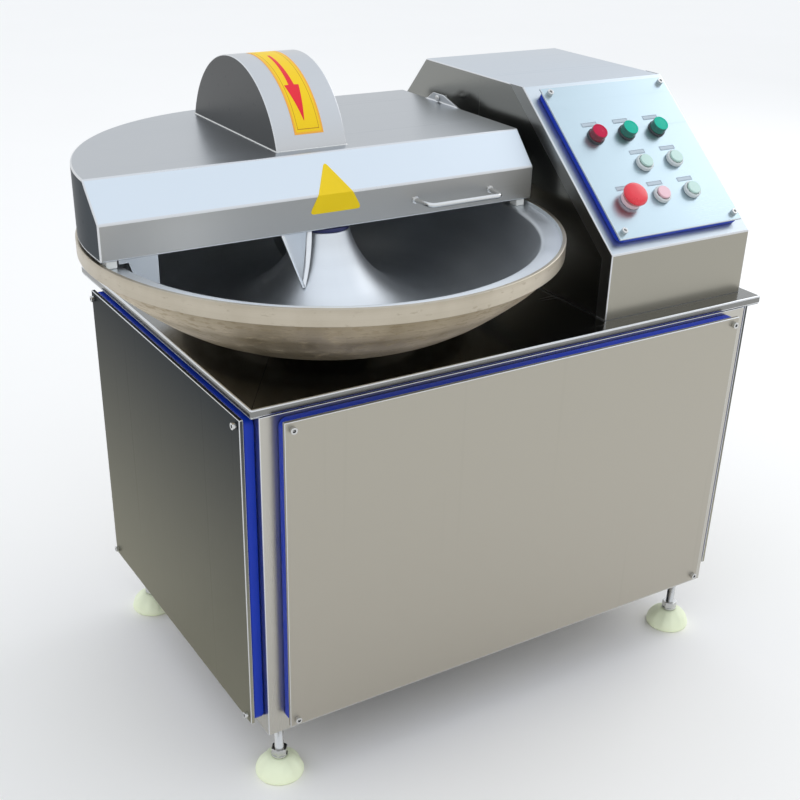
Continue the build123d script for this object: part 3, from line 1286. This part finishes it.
scraper_reach = BOWL_Y - FOLD_Y - SCRAPER_T / 2
arc_centre_x = BOWL_X - sqrt(TROUGH_OFFSET**2 - scraper_reach**2)
arc_r = TROUGH_R - WALL_CLEARANCE
step_z = LEDGE_Z + WALL_CLEARANCE
wall_x = arc_centre_x - sqrt(arc_r**2 - (TROUGH_Z - step_z) ** 2)
foot_z = TROUGH_Z - sqrt(arc_r**2 - (WALL_SCRAPER_RIGHT - arc_centre_x) ** 2)
bulge_x = (wall_x + WALL_SCRAPER_RIGHT) / 2
bulge_z = TROUGH_Z - sqrt(arc_r**2 - (bulge_x - arc_centre_x) ** 2)
with BuildPart() as wall_scraper:
    with BuildSketch(at_y(FOLD_Y + SCRAPER_T)):
        with BuildLine():
            Polyline(
                (WALL_SCRAPER_RIGHT, foot_z),
                (WALL_SCRAPER_RIGHT, SCRAPER_TOP_Z),
                (WALL_SCRAPER_LEFT, SCRAPER_TOP_Z),
                (WALL_SCRAPER_LEFT, step_z),
                (wall_x, step_z),
            )
            ThreePointArc((wall_x, step_z), (bulge_x, bulge_z), (WALL_SCRAPER_RIGHT, foot_z))
        make_face()
    extrude(amount=SCRAPER_T)
save(wall_scraper.part, "wall_scraper")

# ---------------------------------------------------------------- lid hinge
BOSS_X0 = ARM_XS[1] + ARM_T + HINGE_SIDE_GAP

with BuildPart() as hinge_post:
    with BuildSketch(at_height(TABLE_Z)):
        rect(
            POST_X[0] - POST_BASE,
            POST_X[1] + POST_BASE,
            HINGE_Y - HINGE_BOSS_R,
            TABLE_D - TABLE_CORNER_R,
        )
    extrude(amount=POST_BASE_T)
    with BuildSketch(at_x(POST_X[0])):
        rect(HINGE_Y - POST_HALF, HINGE_Y + POST_HALF, TABLE_Z + POST_BASE_T, HINGE_Z)
        disc(HINGE_Y, HINGE_Z, HINGE_BOSS_R)
        disc(HINGE_Y, HINGE_Z, HINGE_R, mode=Mode.SUBTRACT)
    extrude(amount=POST_X[1] - POST_X[0])
with BuildPart() as wall_boss:
    with BuildSketch(at_x(BOSS_X0)):
        disc(HINGE_Y, HINGE_Z, HINGE_BOSS_R)
    extrude(amount=BOX_X - BOSS_X0)
    with BuildSketch(at_x(BOX_X - WALL_PLATE_T)):
        rect(
            HINGE_Y - WALL_PLATE_HALF, HINGE_Y + WALL_PLATE_HALF,
            HINGE_Z - WALL_PLATE_HALF, HINGE_Z + WALL_PLATE_HALF,
        )
    extrude(amount=WALL_PLATE_T)
    with BuildSketch(at_x(BOSS_X0)):
        disc(HINGE_Y, HINGE_Z, HINGE_R)
    extrude(amount=BOX_X - BOSS_X0 - WALL_PLATE_T, mode=Mode.SUBTRACT)
save_group([hinge_post.part, wall_boss.part], "hinge_brackets")

hinge_shaft = turned_level(HINGE_Y, HINGE_Z, [
    (POST_X[0] - SHAFT_HEAD_L, POST_X[0], 0, SHAFT_HEAD_R),
    (POST_X[0] - SHAFT_HEAD_L, BOX_X - WALL_PLATE_T, 0, HINGE_R),
])
save(hinge_shaft, "hinge_shaft")


# ---------------------------------------------------------------- levelling feet
def foot_pad(x, y):
    """A domed plastic pad with a socket for the stem's end."""
    floor = -LEG_H
    with BuildPart() as pad:
        with BuildSketch(radial_plane(x, y)):
            with BuildLine():
                Polyline(
                    (0, floor + SOCKET_H),
                    (0, floor),
                    (PAD_R - PAD_EDGE, floor),
                    (PAD_R, floor + PAD_EDGE),
                    (PAD_R, floor + PAD_SKIRT),
                )
                ThreePointArc(
                    (PAD_R, floor + PAD_SKIRT),
                    (PAD_BELLY_R, floor + PAD_BELLY_H),
                    (PAD_SHOULDER_R, floor + PAD_SHOULDER_H),
                )
                Polyline(
                    (PAD_SHOULDER_R, floor + PAD_SHOULDER_H),
                    (PAD_TOP_R, floor + PAD_H),
                    (STEM_R + SOFT_GAP, floor + PAD_H),
                    (STEM_R + SOFT_GAP, floor + SOCKET_H),
                    (0, floor + SOCKET_H),
                )
            make_face()
        revolve(axis=upright_axis(x, y))
    return pad.part


def foot_stem(x, y):
    """A threaded stem with its collar and hexagon nut resting on the pad."""
    pad_top = PAD_H - LEG_H
    with BuildPart() as stem:
        with BuildSketch(at_height(SOCKET_H - LEG_H)):
            disc(x, y, STEM_R)
        extrude(amount=STEM_TOP + LEG_H - SOCKET_H)
        with BuildSketch(at_height(pad_top)):
            disc(x, y, FOOT_NUT_R)
        extrude(amount=COLLAR_H)
        with BuildSketch(at_height(pad_top)):
            with Locations((x, y)):
                RegularPolygon(FOOT_NUT_R, 6)
        extrude(amount=FOOT_NUT_H)
    return stem.part


for number, (x, y) in enumerate(FOOT_SPOTS, 1):
    save(foot_pad(x, y), f"foot_pad_{number}")
    save(foot_stem(x, y), f"foot_stem_{number}")
